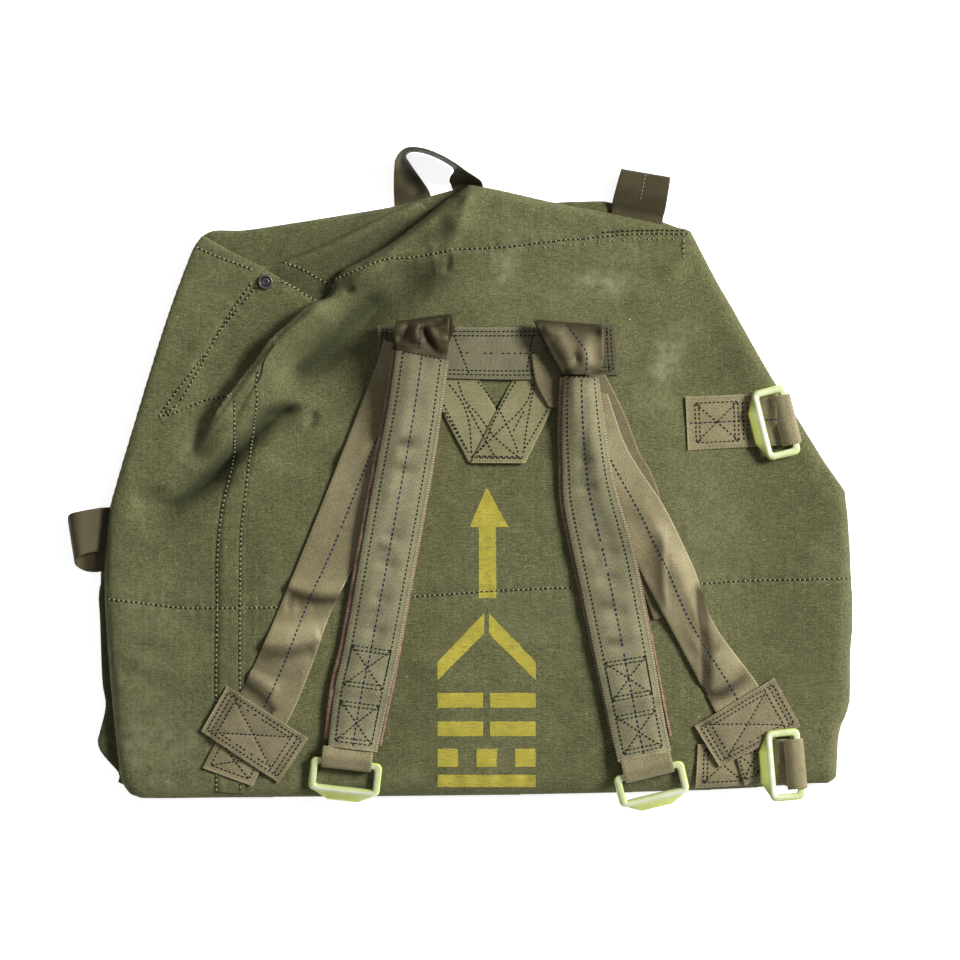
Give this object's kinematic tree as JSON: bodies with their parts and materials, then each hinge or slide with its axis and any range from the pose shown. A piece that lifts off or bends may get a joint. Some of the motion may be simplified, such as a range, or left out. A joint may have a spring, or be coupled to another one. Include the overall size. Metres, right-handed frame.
{
  "type": "parachute pack",
  "caption": "Olive canvas parachute pack lying flat, with padded webbing shoulder straps, sewn yoke, side webbing with slide buckles and webbing carrying loops.",
  "frame": {"origin": "middle of the pack's bounding box, on the surface that it lies on", "axes": "+X to the right across the front, +Y up the front towards the loops at the mouth, +Z out of the front, away from the surface that the pack lies on"},
  "size_m": [0.6901, 0.5812, 0.054],
  "materials": {
    "canvas": "tightly woven cotton canvas, worn in places",
    "webbing": "twill webbing with a slight sheen",
    "yoke_web": "twill webbing, greyed by wear",
    "strap_cover": "ribbed webbing",
    "felt": "wool felt",
    "zinc": "zinc plated steel with a yellow-green passivated film",
    "snap": "blackened brass"
  },
  "bodies": {
    "root": {"bag_back": "canvas", "bag_gusset": "canvas", "bag_body": "canvas", "yoke_leg_left": "webbing", "yoke_leg_right": "webbing", "yoke_tail_right": "webbing", "sling_left": "webbing", "sling_right": "webbing", "sling_under_right": "webbing", "anchor_left": "webbing", "anchor_right": "webbing", "strap_head_left": "webbing", "strap_head_right": "webbing", "strap_end_left": "webbing", "strap_end_right": "webbing", "side_strap_low": "webbing", "side_strap_high": "webbing", "side_loop": "webbing", "top_loop_left": "webbing", "top_loop_right": "webbing", "yoke_webbing": "yoke_web", "strap_cover_left": "strap_cover", "strap_cover_right": "strap_cover", "strap_felt_left": "felt", "strap_felt_right": "felt", "strap_buckle_left": "zinc", "strap_buckle_right": "zinc", "side_buckle_low": "zinc", "side_buckle_high": "zinc", "snap_fastener": "snap"}
  },
  "joints": []
}
